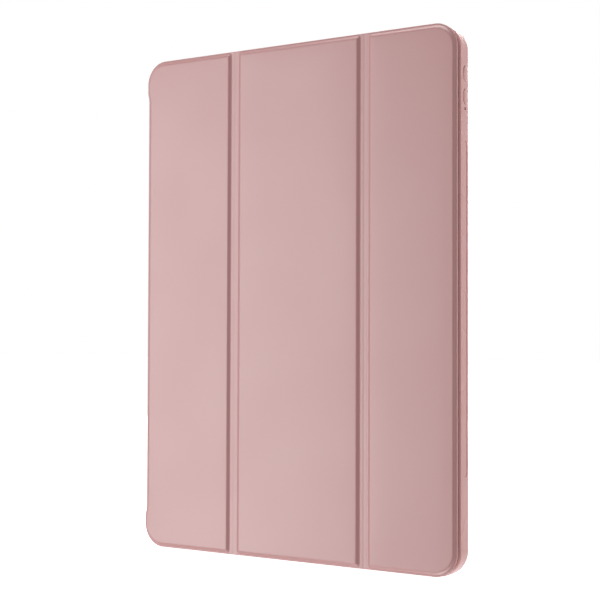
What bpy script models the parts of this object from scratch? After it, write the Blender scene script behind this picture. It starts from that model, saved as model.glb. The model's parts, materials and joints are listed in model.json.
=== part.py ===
"""Folio case for an 11-inch class tablet: a soft tray, a spine and a three-panel cover, shut and upright.

X runs across the case from the spine to the free edge, Y from the front cover to the back and Z up the
long side. The origin is the middle of the bottom edge. All lengths are in metres.
"""

import math

import bmesh
import bpy
from mathutils import Vector

# The tablet that the tray holds
TABLET_WIDTH = 0.1785
TABLET_DEPTH = 0.0059
TABLET_HEIGHT = 0.2476
TABLET_PLAY = 0.0002

# Tray
WALL = 0.0017
LIP_REACH = 0.0026
LIP_DEPTH = 0.0014
PLATE_DEPTH = 0.0018
TRAY_CORNER = 0.0120
FRONT_ROUNDING = 0.0014
BACK_ROUNDING = 0.0026
FLANGE_REACH = 0.0045
LEDGE_REACH = 0.0070
LEDGE_DEPTH = 0.0009

# Cover laminate: outer skin, stiff board, microfibre lining
SKIN = 0.0005
BOARD = 0.0009
LINING = 0.0006
COVER_DEPTH = 0.0021
COVER_TO_TRAY = 0.0003
COVER_CORNER = 0.0115
COVER_OVERHANG = 0.0006
COVER_SETBACK = 0.0007
RIM = 0.0017
PAD_SLOPE = 0.0011
PAD_RISE = 0.00095
PAD_CORNER = 0.0018
POCKET_INSET = 0.0010
EDGE_CORNER = 0.0003

# Grooves between the panels, as distances from the spine's outer face
GROOVE_AB = 0.0576
GROOVE_BC = 0.1338
GROOVE_HALF_FLOOR = 0.0022
GROOVE_LEDGE = 0.0004

# Spine and its two soft folds
SPINE_DEPTH = 0.0014
SPINE_TO_TRAY = 0.0003
SPINE_BOARD = 0.00035
SPINE_LINING = 0.0004
FRONT_WRAP = 0.0038
REAR_WRAP = 0.0036
FOLD_START = 0.0070
FRONT_FOLD_ANGLE = 60.0
REAR_FOLD_ANGLE = 25.0
REAR_LINING_ANGLE = 55.0
EAR_HEIGHT = 0.021
EAR_SETBACK = 0.0003
PIVOT_INSET = 0.0009
FRONT_PIVOT_DEPTH = 0.0015
REAR_PIVOT_DEPTH = 0.00105
BACK_STRIP_EDGE = 0.026
BACK_STRIP_CORNER = 0.004
TAPE = 0.0001
TAPE_INSET = 0.0004

# Buttons, ports and recesses, placed from the top edge or from the tray's middle
BUTTON_WIDTH = 0.0033
BUTTON_PROUD = 0.0004
BUTTON_CLEARANCE = 0.0003
BUTTON_ROUNDING = 0.0004
VOLUME_LENGTH = 0.0070
VOLUME_UP_FROM_TOP = 0.0228
VOLUME_DOWN_FROM_TOP = 0.0334
POWER_LENGTH = 0.0104
POWER_FROM_SIDE = 0.0270
HOLE_RADIUS = 0.0006
HOLE_FROM_TOP = 0.0388
STYLUS_TOP = 0.0537
STYLUS_BOTTOM = 0.2060
STYLUS_WIDTH = 0.0040
STYLUS_DEPTH = 0.00045
PORT_LENGTH = 0.0150
PORT_WIDTH = 0.0046
SPEAKER_LENGTH = 0.0300
SPEAKER_WIDTH = 0.0036
SPEAKER_FROM_MIDDLE = 0.0480
CAMERA_WINDOW = 0.0320
CAMERA_CORNER = 0.0080
CAMERA_FROM_EDGES = 0.0268
CAMERA_RING = 0.0016
CAMERA_RING_PROUD = 0.0006

# Magnets and the steel strip that lie in the boards
MAGNET_LENGTH = 0.0140
MAGNET_WIDTH = 0.0040
MAGNET_DEPTH = 0.0007
MAGNET_FROM_EDGE = 0.0080
MAGNET_HEIGHTS = (0.036, 0.096, 0.156, 0.216)
WAKE_RADIUS = 0.0035
WAKE_FROM_EDGE = 0.0180
WAKE_HEIGHT = 0.186
KEEPER_WIDTH = 0.0100
KEEPER_LENGTH = 0.1500
KEEPER_DEPTH = 0.0004
KEEPER_FROM_SPINE = 0.0170

# Gaps between neighbours: glued faces, edges side by side, and parts laid in a cut-out
BOND = 0.00005
SEAM = 0.00015
POCKET_PLAY = 0.0003

CORNER_STEPS = 7
OVERCUT = 0.002

# Worked out from the driving dimensions
BAY_DEPTH = TABLET_DEPTH + TABLET_PLAY / 2
TRAY_WIDTH = TABLET_WIDTH + 2 * (TABLET_PLAY + WALL)
TRAY_HEIGHT = TABLET_HEIGHT + 2 * (TABLET_PLAY + WALL)
TRAY_DEPTH = LIP_DEPTH + BAY_DEPTH + PLATE_DEPTH
STRIP_DEPTH = TAPE + SKIN + 2 * BOND
CASE_WIDTH = SPINE_DEPTH + SPINE_TO_TRAY + TRAY_WIDTH + BUTTON_PROUD
CASE_DEPTH = COVER_DEPTH + COVER_TO_TRAY + TRAY_DEPTH + STRIP_DEPTH
COVER_HEIGHT = TRAY_HEIGHT + COVER_OVERHANG
LEFT = -CASE_WIDTH / 2
FRONT = -CASE_DEPTH / 2
BACK = CASE_DEPTH / 2
TRAY_LEFT = LEFT + SPINE_DEPTH + SPINE_TO_TRAY
TRAY_RIGHT = TRAY_LEFT + TRAY_WIDTH
TRAY_MIDDLE = (TRAY_LEFT + TRAY_RIGHT) / 2
TRAY_FRONT = FRONT + COVER_DEPTH + COVER_TO_TRAY
TRAY_BACK = TRAY_FRONT + TRAY_DEPTH
BAY_FLOOR = TRAY_BACK - PLATE_DEPTH
BAY_MIDDLE = BAY_FLOOR - BAY_DEPTH / 2
COVER_RIGHT = TRAY_RIGHT - COVER_SETBACK
SPINE_LOW = EAR_HEIGHT
SPINE_HIGH = COVER_HEIGHT - EAR_HEIGHT
FRONT_ARC = FRONT_WRAP * math.pi / 2
REAR_ARC = REAR_WRAP * math.pi / 2
FRONT_RUN = FOLD_START - FRONT_WRAP
SIDE_RUN = CASE_DEPTH - FRONT_WRAP - REAR_WRAP


def clear_scene():
    for item in list(bpy.data.objects):
        bpy.data.objects.remove(item, do_unlink=True)


def make_material(name, color, roughness, metallic=0.0):
    material = bpy.data.materials.new(name)
    material.use_nodes = True
    shader = material.node_tree.nodes["Principled BSDF"]
    shader.inputs["Base Color"].default_value = (*color, 1.0)
    shader.inputs["Roughness"].default_value = roughness
    shader.inputs["Metallic"].default_value = metallic
    return material


def make_pivot(name, position, parent=None):
    """An empty at a world position, which its pieces hang on."""
    pivot = bpy.data.objects.new(name, None)
    pivot.empty_display_size = 0.01
    bpy.context.collection.objects.link(pivot)
    pivot["world"] = position
    pivot.location = Vector(position)
    if parent:
        pivot.parent = parent
        pivot.location -= Vector(parent["world"])
    return pivot


def add_object(name, shape, pivot, material):
    """Puts a bmesh drawn in world positions into the scene, with its origin on the pivot."""
    bmesh.ops.recalc_face_normals(shape, faces=shape.faces)
    bmesh.ops.translate(shape, vec=-Vector(pivot["world"]), verts=shape.verts)
    mesh = bpy.data.meshes.new(name)
    shape.to_mesh(mesh)
    shape.free()
    piece = bpy.data.objects.new(name, mesh)
    bpy.context.collection.objects.link(piece)
    piece.parent = pivot
    if material:
        mesh.materials.append(material)
        mesh.shade_smooth()
        mesh.set_sharp_from_angle(angle=math.radians(32))
    return piece


def cut(piece, name, shape, pivot):
    """Subtracts a closed bmesh, which stays in the scene as a hidden cutter."""
    cutter = add_object(name, shape, pivot, None)
    cutter.hide_render = True
    cutter.display_type = "WIRE"
    boolean = piece.modifiers.new(name, "BOOLEAN")
    boolean.operation = "DIFFERENCE"
    boolean.solver = "EXACT"
    boolean.object = cutter


def outline(box, radii):
    """Points round the box (x0, x1, z0, z1); radii run from the bottom left corner, anticlockwise."""
    x0, x1, z0, z1 = box
    centres = ((x0, z0, 1, 1), (x1, z0, -1, 1), (x1, z1, -1, -1), (x0, z1, 1, -1))
    points = []
    for turn, (radius, (x, z, inward_x, inward_z)) in enumerate(zip(radii, centres)):
        for step in range(CORNER_STEPS + 1):
            angle = math.radians(180 + 90 * turn + 90 * step / CORNER_STEPS)
            points.append(
                (
                    x + radius * (inward_x + math.cos(angle)),
                    z + radius * (inward_z + math.sin(angle)),
                )
            )
    return points


def shrunk_box(box, inset):
    x0, x1, z0, z1 = box
    return (x0 + inset, x1 - inset, z0 + inset, z1 - inset)


def shrink(box, radii, inset):
    """The outline moved inwards by an inset, with its corners kept round."""
    return outline(shrunk_box(box, inset), [max(radius - inset, EDGE_CORNER) for radius in radii])


def rings_solid(rings, is_loop=False):
    """Joins rings of equally many points with faces, then caps both ends or closes the last to the first."""
    shape = bmesh.new()
    loops = [[shape.verts.new(point) for point in ring] for ring in rings]
    pairs = list(zip(loops, loops[1:]))
    if is_loop:
        pairs.append((loops[-1], loops[0]))
    else:
        shape.faces.new(loops[0])
        shape.faces.new(loops[-1])
    for first, second in pairs:
        for i in range(len(first)):
            j = (i + 1) % len(first)
            shape.faces.new((first[i], first[j], second[j], second[i]))
    return shape


def flat_ring(points, y):
    return [(x, y, z) for x, z in points]


def slab(box, radii, y0, y1):
    """A plate with the outline of the box, between two depths."""
    points = outline(box, radii)
    return rings_solid([flat_ring(points, y0), flat_ring(points, y1)])


def even(radius):
    return (radius, radius, radius, radius)


def box_around(x, z, width, height):
    return (x - width / 2, x + width / 2, z - height / 2, z + height / 2)


def side_slot(x0, x1, depth, height, width, length):
    """A slot with round ends that runs along X, centred at a depth and a height; its length is along Z."""
    points = outline(box_around(depth, height, width, length), even(width * 0.49))
    return rings_solid([[(x, y, z) for y, z in points] for x in (x0, x1)])


def end_slot(z0, z1, x, depth, width, length):
    """A slot with round ends that runs along Z; its length is along X."""
    points = outline(box_around(x, depth, length, width), even(width * 0.49))
    return rings_solid([[(px, py, z) for px, py in points] for z in (z0, z1)])


def side_button(depth, height, width, length):
    """A button cover on the free side, from the bay's wall to just proud of the tray, with a rounded edge."""
    box = box_around(depth, height, width, length)
    radii = even(width * 0.45)
    stations = (
        (TRAY_RIGHT - WALL, 0.0),
        (TRAY_RIGHT + BUTTON_PROUD - BUTTON_ROUNDING, 0.0),
        (TRAY_RIGHT + BUTTON_PROUD - BUTTON_ROUNDING * 0.3, BUTTON_ROUNDING * 0.3),
        (TRAY_RIGHT + BUTTON_PROUD, BUTTON_ROUNDING),
    )
    return rings_solid([[(x, y, z) for y, z in shrink(box, radii, inset)] for x, inset in stations])


def end_button(x, depth, width, length):
    """The same button cover on the top edge."""
    box = box_around(x, depth, length, width)
    radii = even(width * 0.45)
    stations = (
        (TRAY_HEIGHT - WALL, 0.0),
        (TRAY_HEIGHT + BUTTON_PROUD - BUTTON_ROUNDING, 0.0),
        (TRAY_HEIGHT + BUTTON_PROUD - BUTTON_ROUNDING * 0.3, BUTTON_ROUNDING * 0.3),
        (TRAY_HEIGHT + BUTTON_PROUD, BUTTON_ROUNDING),
    )
    return rings_solid([[(px, py, z) for px, py in shrink(box, radii, inset)] for z, inset in stations])


def quarter(centre_inset, centre_depth, radius, start, steps):
    """Points (inset, depth) on a quarter circle, from a start angle on."""
    points = []
    for step in range(steps + 1):
        angle = math.radians(start + 90 * step / steps)
        points.append(
            (centre_inset - radius * math.sin(angle), centre_depth - radius * math.cos(angle))
        )
    return points


def wrap_point(run, depth):
    """The point at a run along the spine's outer skin, from the front fold's start, and a depth inside it."""
    if run < FRONT_RUN:
        return (LEFT + FOLD_START - run, FRONT + depth)
    run -= FRONT_RUN
    if run < FRONT_ARC:
        angle = run / FRONT_WRAP
        reach = FRONT_WRAP - depth
        return (
            LEFT + FRONT_WRAP - reach * math.sin(angle),
            FRONT + FRONT_WRAP - reach * math.cos(angle),
        )
    run -= FRONT_ARC
    if run < SIDE_RUN:
        return (LEFT + depth, FRONT + FRONT_WRAP + run)
    run -= SIDE_RUN
    angle = min(run / REAR_WRAP, math.pi / 2)
    past = max(run - REAR_ARC, 0.0)
    reach = REAR_WRAP - depth
    return (
        LEFT + REAR_WRAP + past - reach * math.cos(angle),
        BACK - REAR_WRAP + reach * math.sin(angle),
    )


def wrap_strip(run0, run1, depth0, depth1):
    """A strip of sheet that follows the spine, between two runs and two depths."""
    steps = max(2, math.ceil((run1 - run0) / 0.0006))
    runs = [run0 + (run1 - run0) * step / steps for step in range(steps + 1)]
    section = [wrap_point(run, depth0) for run in runs]
    section += [wrap_point(run, depth1) for run in reversed(runs)]
    return rings_solid([[(x, y, z) for x, y in section] for z in (SPINE_LOW, SPINE_HIGH)])


def build_tray(pivot, soft, stiff, skin, tape):
    tray_box = (TRAY_LEFT, TRAY_RIGHT, 0.0, TRAY_HEIGHT)
    corners = even(TRAY_CORNER)
    ledge = TRAY_DEPTH - LEDGE_DEPTH
    section = [
        (LIP_REACH, LIP_DEPTH),
        (LIP_REACH, LIP_DEPTH * 0.2),
        (LIP_REACH - LIP_DEPTH * 0.2, 0.0),
        *quarter(FRONT_ROUNDING, FRONT_ROUNDING, FRONT_ROUNDING, 0, 4),
        *quarter(BACK_ROUNDING, TRAY_DEPTH - BACK_ROUNDING, BACK_ROUNDING, 90, 5),
        (FLANGE_REACH, TRAY_DEPTH),
        (FLANGE_REACH, ledge),
        (LEDGE_REACH, ledge),
        (LEDGE_REACH, TRAY_DEPTH - PLATE_DEPTH),
        (WALL, TRAY_DEPTH - PLATE_DEPTH),
        (WALL, LIP_DEPTH),
    ]
    rings = [flat_ring(shrink(tray_box, corners, inset), TRAY_FRONT + depth) for inset, depth in section]
    frame = add_object("bumper_frame", rings_solid(rings, is_loop=True), pivot, soft)

    side = (TRAY_RIGHT - WALL - OVERCUT / 4, TRAY_RIGHT + OVERCUT)
    window = 2 * BUTTON_CLEARANCE
    for name, from_top in (("volume_up", VOLUME_UP_FROM_TOP), ("volume_down", VOLUME_DOWN_FROM_TOP)):
        height = TRAY_HEIGHT - from_top
        slot = side_slot(*side, BAY_MIDDLE, height, BUTTON_WIDTH + window, VOLUME_LENGTH + window)
        cut(frame, name + "_window_cutter", slot, pivot)
    top = (TRAY_HEIGHT - WALL - OVERCUT / 4, TRAY_HEIGHT + OVERCUT)
    power_x = TRAY_RIGHT - POWER_FROM_SIDE
    slot = end_slot(*top, power_x, BAY_MIDDLE, BUTTON_WIDTH + window, POWER_LENGTH + window)
    cut(frame, "power_window_cutter", slot, pivot)
    hole_size = 2 * HOLE_RADIUS
    hole = side_slot(*side, BAY_MIDDLE, TRAY_HEIGHT - HOLE_FROM_TOP, hole_size, hole_size)
    cut(frame, "hole_cutter", hole, pivot)
    middle = TRAY_HEIGHT - (STYLUS_TOP + STYLUS_BOTTOM) / 2
    recess = (TRAY_RIGHT - STYLUS_DEPTH, TRAY_RIGHT + OVERCUT)
    length = STYLUS_BOTTOM - STYLUS_TOP
    cut(frame, "stylus_cutter", side_slot(*recess, BAY_MIDDLE, middle, STYLUS_WIDTH, length), pivot)
    bottom = (-OVERCUT, WALL + OVERCUT / 4)
    port = end_slot(*bottom, TRAY_MIDDLE, BAY_MIDDLE, PORT_WIDTH, PORT_LENGTH)
    cut(frame, "port_cutter", port, pivot)
    for end, span in (("bottom", bottom), ("top", top)):
        for side_name, sign in (("left", -1), ("right", 1)):
            x = TRAY_MIDDLE + sign * SPEAKER_FROM_MIDDLE - (sign > 0) * POWER_LENGTH * (end == "top")
            slot = end_slot(*span, x, BAY_MIDDLE, SPEAKER_WIDTH, SPEAKER_LENGTH)
            cut(frame, f"speaker_{end}_{side_name}_cutter", slot, pivot)

    inner = LEDGE_REACH + SEAM
    outer = FLANGE_REACH + SEAM
    stations = (
        (inner, TRAY_DEPTH - PLATE_DEPTH),
        (inner, ledge + BOND),
        (outer, ledge + BOND),
        (outer, TRAY_DEPTH),
    )
    rings = [flat_ring(shrink(tray_box, corners, inset), TRAY_FRONT + depth) for inset, depth in stations]
    plate = add_object("back_plate", rings_solid(rings), pivot, stiff)
    camera_x = TRAY_RIGHT - CAMERA_FROM_EDGES
    camera_z = TRAY_HEIGHT - CAMERA_FROM_EDGES
    window_box = box_around(camera_x, camera_z, CAMERA_WINDOW, CAMERA_WINDOW)
    window_corners = even(CAMERA_CORNER)
    opening = shrink(window_box, window_corners, -CAMERA_RING - SEAM)
    cutter = rings_solid([flat_ring(opening, BAY_FLOOR - OVERCUT), flat_ring(opening, BACK + OVERCUT)])
    cut(plate, "camera_cutter", cutter, pivot)
    ring_back = TRAY_BACK + CAMERA_RING_PROUD
    ring_section = (
        (0.0, BAY_FLOOR),
        (-CAMERA_RING, BAY_FLOOR),
        (-CAMERA_RING, ring_back - CAMERA_RING_PROUD / 2),
        (-CAMERA_RING * 0.7, ring_back),
        (-CAMERA_RING * 0.3, ring_back),
        (0.0, ring_back - CAMERA_RING_PROUD / 2),
    )
    rings = [flat_ring(shrink(window_box, window_corners, inset), y) for inset, y in ring_section]
    add_object("camera_ring", rings_solid(rings, is_loop=True), pivot, soft)

    strip_box = (LEFT + REAR_WRAP + SEAM, LEFT + BACK_STRIP_EDGE, SPINE_LOW, SPINE_HIGH)
    strip_corners = (EDGE_CORNER, BACK_STRIP_CORNER, BACK_STRIP_CORNER, EDGE_CORNER)
    add_object("back_strip", slab(strip_box, strip_corners, BACK - SKIN, BACK), pivot, skin)
    x0, x1, z0, z1 = strip_box
    tape_left = TRAY_LEFT + BACK_ROUNDING
    tape_box = (tape_left, x1 - TAPE_INSET, z0 + TAPE_INSET, z1 - TAPE_INSET)
    tape_front = TRAY_BACK + BOND
    add_object("bond_tape", slab(tape_box, strip_corners, tape_front, tape_front + TAPE), pivot, tape)


def build_buttons(tray_pivot, soft):
    for name, from_top in (("volume_up", VOLUME_UP_FROM_TOP), ("volume_down", VOLUME_DOWN_FROM_TOP)):
        height = TRAY_HEIGHT - from_top
        pivot = make_pivot(name + "_slide", (TRAY_RIGHT, BAY_MIDDLE, height), tray_pivot)
        shape = side_button(BAY_MIDDLE, height, BUTTON_WIDTH, VOLUME_LENGTH)
        add_object(name + "_button", shape, pivot, soft)
    power_x = TRAY_RIGHT - POWER_FROM_SIDE
    pivot = make_pivot("power_slide", (power_x, BAY_MIDDLE, TRAY_HEIGHT), tray_pivot)
    shape = end_button(power_x, BAY_MIDDLE, BUTTON_WIDTH, POWER_LENGTH)
    add_object("power_button", shape, pivot, soft)


def build_spine(tray_pivot, spine_pivot, skin, board, lining):
    spine_start = FRONT_RUN + FRONT_ARC * FRONT_FOLD_ANGLE / 90
    side_end = FRONT_RUN + FRONT_ARC + SIDE_RUN
    spine_end = side_end + REAR_ARC * REAR_FOLD_ANGLE / 90
    under_skin = SKIN + BOND
    fold_inner = under_skin + SPINE_LINING
    under_board = under_skin + SPINE_BOARD + BOND
    start, end = spine_start + SEAM, spine_end - SEAM
    strips = (
        ("front_fold_skin", 0.0, spine_start, 0.0, SKIN, spine_pivot, skin),
        ("front_fold_lining", 0.0, spine_start, under_skin, fold_inner, spine_pivot, lining),
        ("spine_skin", start, end, 0.0, SKIN, spine_pivot, skin),
        ("spine_board", start, end, under_skin, under_skin + SPINE_BOARD, spine_pivot, board),
        ("spine_lining", start, end, under_board, under_board + SPINE_LINING, spine_pivot, lining),
        ("rear_fold_skin", spine_end, side_end + REAR_ARC, 0.0, SKIN, tray_pivot, skin),
    )
    for name, run0, run1, depth0, depth1, pivot, material in strips:
        add_object(name, wrap_strip(run0, run1, depth0, depth1), pivot, material)
    lining_end = side_end + REAR_ARC * REAR_LINING_ANGLE / 90
    shape = wrap_strip(spine_end, lining_end, under_skin, fold_inner)
    add_object("rear_fold_lining", shape, tray_pivot, lining)


def panel_skin(box, corners, pad_box, pad_corners, pocket_box, pocket_corners):
    """A raised pad on a thin rim, with the board's pocket open behind it."""
    rim_front = FRONT + PAD_RISE
    rim_back = rim_front + SKIN
    edge = SKIN * 0.25
    slope = ((0.0, 1.0), (0.22, 0.82), (0.70, 0.22), (1.0, 0.04), (1.35, 0.0))
    pocket = outline(pocket_box, pocket_corners)
    rings = [
        flat_ring(pocket, FRONT + SKIN),
        flat_ring(pocket, rim_back),
        flat_ring(outline(box, corners), rim_back),
        flat_ring(outline(box, corners), rim_front + edge),
        flat_ring(shrink(box, corners, edge), rim_front),
    ]
    for across, height in slope:
        points = shrink(pad_box, pad_corners, across * PAD_SLOPE)
        rings.append(flat_ring(points, FRONT + height * PAD_RISE))
    return rings_solid(rings)


def build_panel(letter, pivot, box, corners, is_rolled, is_free, skin, board, lining):
    """One cover panel: skin, board and lining. A rolled panel meets the spine's fold on its left."""
    x0, x1, z0, z1 = box
    pad_left = x0 + (RIM if is_rolled else GROOVE_LEDGE)
    pad_right = x1 - (RIM if is_free else GROOVE_LEDGE)
    pad_box = (pad_left, pad_right, z0 + RIM, z1 - RIM)
    pad_corners = [max(radius - RIM, PAD_CORNER) for radius in corners]
    inner_box = shrunk_box(pad_box, POCKET_INSET)
    pocket_left = LEFT + FOLD_START + POCKET_INSET if is_rolled else inner_box[0]
    pocket_box = (pocket_left, *inner_box[1:])
    pocket_corners = [max(radius - POCKET_INSET, PAD_CORNER) for radius in pad_corners]
    name = "panel_" + letter
    shape = panel_skin(box, corners, pad_box, pad_corners, pocket_box, pocket_corners)
    outer = add_object(name + "_skin", shape, pivot, skin)

    board_front = FRONT + SKIN + BOND
    board_box = shrunk_box(pocket_box, BOND)
    shape = slab(board_box, pocket_corners, board_front, board_front + BOARD - BOND)
    stiffener = add_object(name + "_board", shape, pivot, board)

    lining_back = FRONT + COVER_DEPTH
    shape = slab(box, corners, lining_back - LINING, lining_back)
    inner = add_object(name + "_lining", shape, pivot, lining)
    if is_rolled:
        gap = (x0 - OVERCUT, LEFT + FOLD_START + SEAM, SPINE_LOW - SEAM, SPINE_HIGH + SEAM)
        for piece in (outer, inner):
            shape = slab(gap, even(EDGE_CORNER), FRONT - OVERCUT, FRONT + COVER_DEPTH + OVERCUT)
            cut(piece, piece.name + "_notch_cutter", shape, pivot)
    return stiffener


def build_fold(letters, groove, pivot, skin, lining):
    """The bare strip of skin and lining at the bottom of a groove."""
    half = GROOVE_HALF_FLOOR - GROOVE_LEDGE - SEAM
    box = (LEFT + groove - half, LEFT + groove + half, 0.0, COVER_HEIGHT)
    skin_front = FRONT + PAD_RISE
    lining_back = FRONT + COVER_DEPTH
    shape = slab(box, even(EDGE_CORNER), skin_front, skin_front + SKIN)
    add_object(f"fold_{letters}_skin", shape, pivot, skin)
    shape = slab(box, even(EDGE_CORNER), lining_back - LINING, lining_back)
    add_object(f"fold_{letters}_lining", shape, pivot, lining)


def lay_in_board(name, board, pivot, box, corner, depth, material):
    """Lays a thin piece in the board, in a cut-out a little wider than it."""
    middle = FRONT + SKIN + BOND + BOARD / 2
    hole = slab(shrunk_box(box, -POCKET_PLAY), even(corner), FRONT - OVERCUT, FRONT + OVERCUT * 2)
    cut(board, name + "_cutter", hole, pivot)
    shape = slab(box, even(corner), middle - depth / 2, middle + depth / 2)
    add_object(name, shape, pivot, material)


def build_cover(pivot_a, pivot_b, pivot_c, skin, board, lining, magnet, steel):
    edge = GROOVE_HALF_FLOOR - GROOVE_LEDGE
    square = EDGE_CORNER
    round_corner = COVER_CORNER
    box_a = (LEFT + EAR_SETBACK, LEFT + GROOVE_AB - edge, 0.0, COVER_HEIGHT)
    box_b = (LEFT + GROOVE_AB + edge, LEFT + GROOVE_BC - edge, 0.0, COVER_HEIGHT)
    box_c = (LEFT + GROOVE_BC + edge, COVER_RIGHT, 0.0, COVER_HEIGHT)
    finishes = (skin, board, lining)
    left_round = (round_corner, square, square, round_corner)
    right_round = (square, round_corner, round_corner, square)
    board_a = build_panel("a", pivot_a, box_a, left_round, True, False, *finishes)
    build_panel("b", pivot_b, box_b, even(square), False, False, *finishes)
    board_c = build_panel("c", pivot_c, box_c, right_round, False, True, *finishes)
    build_fold("ab", GROOVE_AB, pivot_a, skin, lining)
    build_fold("bc", GROOVE_BC, pivot_b, skin, lining)

    keeper = box_around(LEFT + KEEPER_FROM_SPINE, COVER_HEIGHT / 2, KEEPER_WIDTH, KEEPER_LENGTH)
    lay_in_board("stand_keeper", board_a, pivot_a, keeper, square, KEEPER_DEPTH, steel)
    magnet_x = COVER_RIGHT - MAGNET_FROM_EDGE
    for number, height in enumerate(MAGNET_HEIGHTS, 1):
        box = box_around(magnet_x, height, MAGNET_WIDTH, MAGNET_LENGTH)
        lay_in_board(f"closing_magnet_{number}", board_c, pivot_c, box, square, MAGNET_DEPTH, magnet)
    wake = box_around(COVER_RIGHT - WAKE_FROM_EDGE, WAKE_HEIGHT, 2 * WAKE_RADIUS, 2 * WAKE_RADIUS)
    lay_in_board("wake_magnet", board_c, pivot_c, wake, WAKE_RADIUS * 0.98, MAGNET_DEPTH, magnet)


def main():
    clear_scene()
    skin = make_material("cover_skin", (0.66, 0.42, 0.40), 0.5)
    lining = make_material("microfibre", (0.70, 0.47, 0.45), 0.95)
    board = make_material("fibre_board", (0.42, 0.36, 0.30), 0.9)
    soft = make_material("soft_tray", (0.74, 0.40, 0.37), 0.28)
    stiff = make_material("stiff_plate", (0.76, 0.47, 0.44), 0.35)
    tape = make_material("adhesive", (0.80, 0.78, 0.72), 0.6)
    magnet = make_material("nickel_magnet", (0.60, 0.60, 0.58), 0.3, 1.0)
    steel = make_material("spring_steel", (0.52, 0.53, 0.55), 0.35, 1.0)

    pivot_x = LEFT + PIVOT_INSET
    tray_pivot = make_pivot("tray_origin", (0.0, 0.0, 0.0))
    spine_pivot = make_pivot("rear_fold_axis", (pivot_x, BACK - REAR_PIVOT_DEPTH, 0.0), tray_pivot)
    pivot_a = make_pivot("front_fold_axis", (pivot_x, FRONT + FRONT_PIVOT_DEPTH, 0.0), spine_pivot)
    pivot_b = make_pivot("fold_ab_axis", (LEFT + GROOVE_AB, FRONT, 0.0), pivot_a)
    pivot_c = make_pivot("fold_bc_axis", (LEFT + GROOVE_BC, FRONT, 0.0), pivot_b)

    build_tray(tray_pivot, soft, stiff, skin, tape)
    build_buttons(tray_pivot, soft)
    build_spine(tray_pivot, spine_pivot, skin, board, lining)
    build_cover(pivot_a, pivot_b, pivot_c, skin, board, lining, magnet, steel)


main()
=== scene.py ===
import json
import math

import bmesh
import bpy
import numpy as np
from mathutils import Matrix, Vector


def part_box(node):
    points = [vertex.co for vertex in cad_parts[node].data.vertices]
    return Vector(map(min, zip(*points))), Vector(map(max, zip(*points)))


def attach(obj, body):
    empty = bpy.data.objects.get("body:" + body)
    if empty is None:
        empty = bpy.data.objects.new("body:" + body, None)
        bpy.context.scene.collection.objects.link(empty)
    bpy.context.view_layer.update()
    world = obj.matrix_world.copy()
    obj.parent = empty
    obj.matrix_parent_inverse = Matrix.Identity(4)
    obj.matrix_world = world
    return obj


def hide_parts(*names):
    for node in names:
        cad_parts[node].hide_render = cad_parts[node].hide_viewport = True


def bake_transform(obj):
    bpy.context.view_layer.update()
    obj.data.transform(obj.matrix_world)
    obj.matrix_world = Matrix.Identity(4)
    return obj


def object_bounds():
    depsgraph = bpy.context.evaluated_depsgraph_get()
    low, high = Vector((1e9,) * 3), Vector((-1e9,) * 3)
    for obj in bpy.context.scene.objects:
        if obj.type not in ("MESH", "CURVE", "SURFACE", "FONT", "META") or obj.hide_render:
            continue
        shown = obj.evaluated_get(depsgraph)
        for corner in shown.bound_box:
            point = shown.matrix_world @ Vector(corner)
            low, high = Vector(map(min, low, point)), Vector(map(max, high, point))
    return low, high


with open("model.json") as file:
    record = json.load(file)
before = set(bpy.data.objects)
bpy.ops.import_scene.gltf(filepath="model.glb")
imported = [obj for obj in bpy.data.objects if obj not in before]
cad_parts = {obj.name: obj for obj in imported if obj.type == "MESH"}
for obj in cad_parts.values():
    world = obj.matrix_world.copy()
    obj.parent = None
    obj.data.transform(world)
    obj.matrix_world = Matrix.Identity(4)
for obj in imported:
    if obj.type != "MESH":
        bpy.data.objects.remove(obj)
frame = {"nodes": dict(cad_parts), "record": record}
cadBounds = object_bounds()
mm = 0.001
caseLeft, caseFront, caseBack = cadBounds[0].x, cadBounds[0].y, cadBounds[1].y
print("frame loaded with", len(frame["nodes"]), "nodes")


def span(node):
    low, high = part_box(node)
    return low.x, high.x, low.y, high.y, low.z, high.z


# camera: three quarters from the free edge, a touch below level
shot = {
    "position": (0.3852, -0.5640, 0.1072),
    "azimuth": 34.22,
    "elevation": -1.625,
    "roll": 0.187,
    "lens": 83.7,
}


def addCamera(s):
    a, e, r = (math.radians(s[key]) for key in ("azimuth", "elevation", "roll"))
    back = Vector((math.sin(a) * math.cos(e), -math.cos(a) * math.cos(e), math.sin(e)))
    right = Vector((math.cos(a), math.sin(a), 0.0))
    up = back.cross(right)
    turn = Matrix((right * math.cos(r) + up * math.sin(r), up * math.cos(r) - right * math.sin(r), back))
    data = bpy.data.cameras.new("camera")
    data.lens = s["lens"]
    camera = bpy.data.objects.new("camera", data)
    bpy.context.scene.collection.objects.link(camera)
    camera.matrix_world = Matrix.Translation(s["position"]) @ turn.transposed().to_4x4()
    bpy.context.scene.camera = camera


# lights: a main soft box at the spine's side, and weaker ones overhead, underneath, behind and at the free edge
studio = {
    "above": 0.12,              # light from the upper and the lower half of the world
    "below": 0.30,
    "gleamFront": 0.15,         # and how bright its front and its back are in reflections
    "gleamBack": 1.45,
    "boxes": [
        # name, position, point that it is aimed at, width and height, power
        ("spineSide", (-0.66, -0.80, 0.02), (-0.06, 0, 0.08), (0.55, 1.1), 7.2),
        ("overhead", (-0.1, -0.16, 1.0), (0, 0, 0.13), (0.7, 0.4), 4.6),
        ("underneath", (0.05, -0.22, -0.75), (0, 0, 0.13), (0.7, 0.4), 4.0),
        ("behind", (-0.35, 1.1, 0.40), (0, 0, 0.12), (0.9, 0.9), 11.0),
        ("freeSide", (0.80, 0.22, 0.16), (0.09, 0, 0.13), (0.4, 0.8), 3.0),
    ],
}


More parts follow.
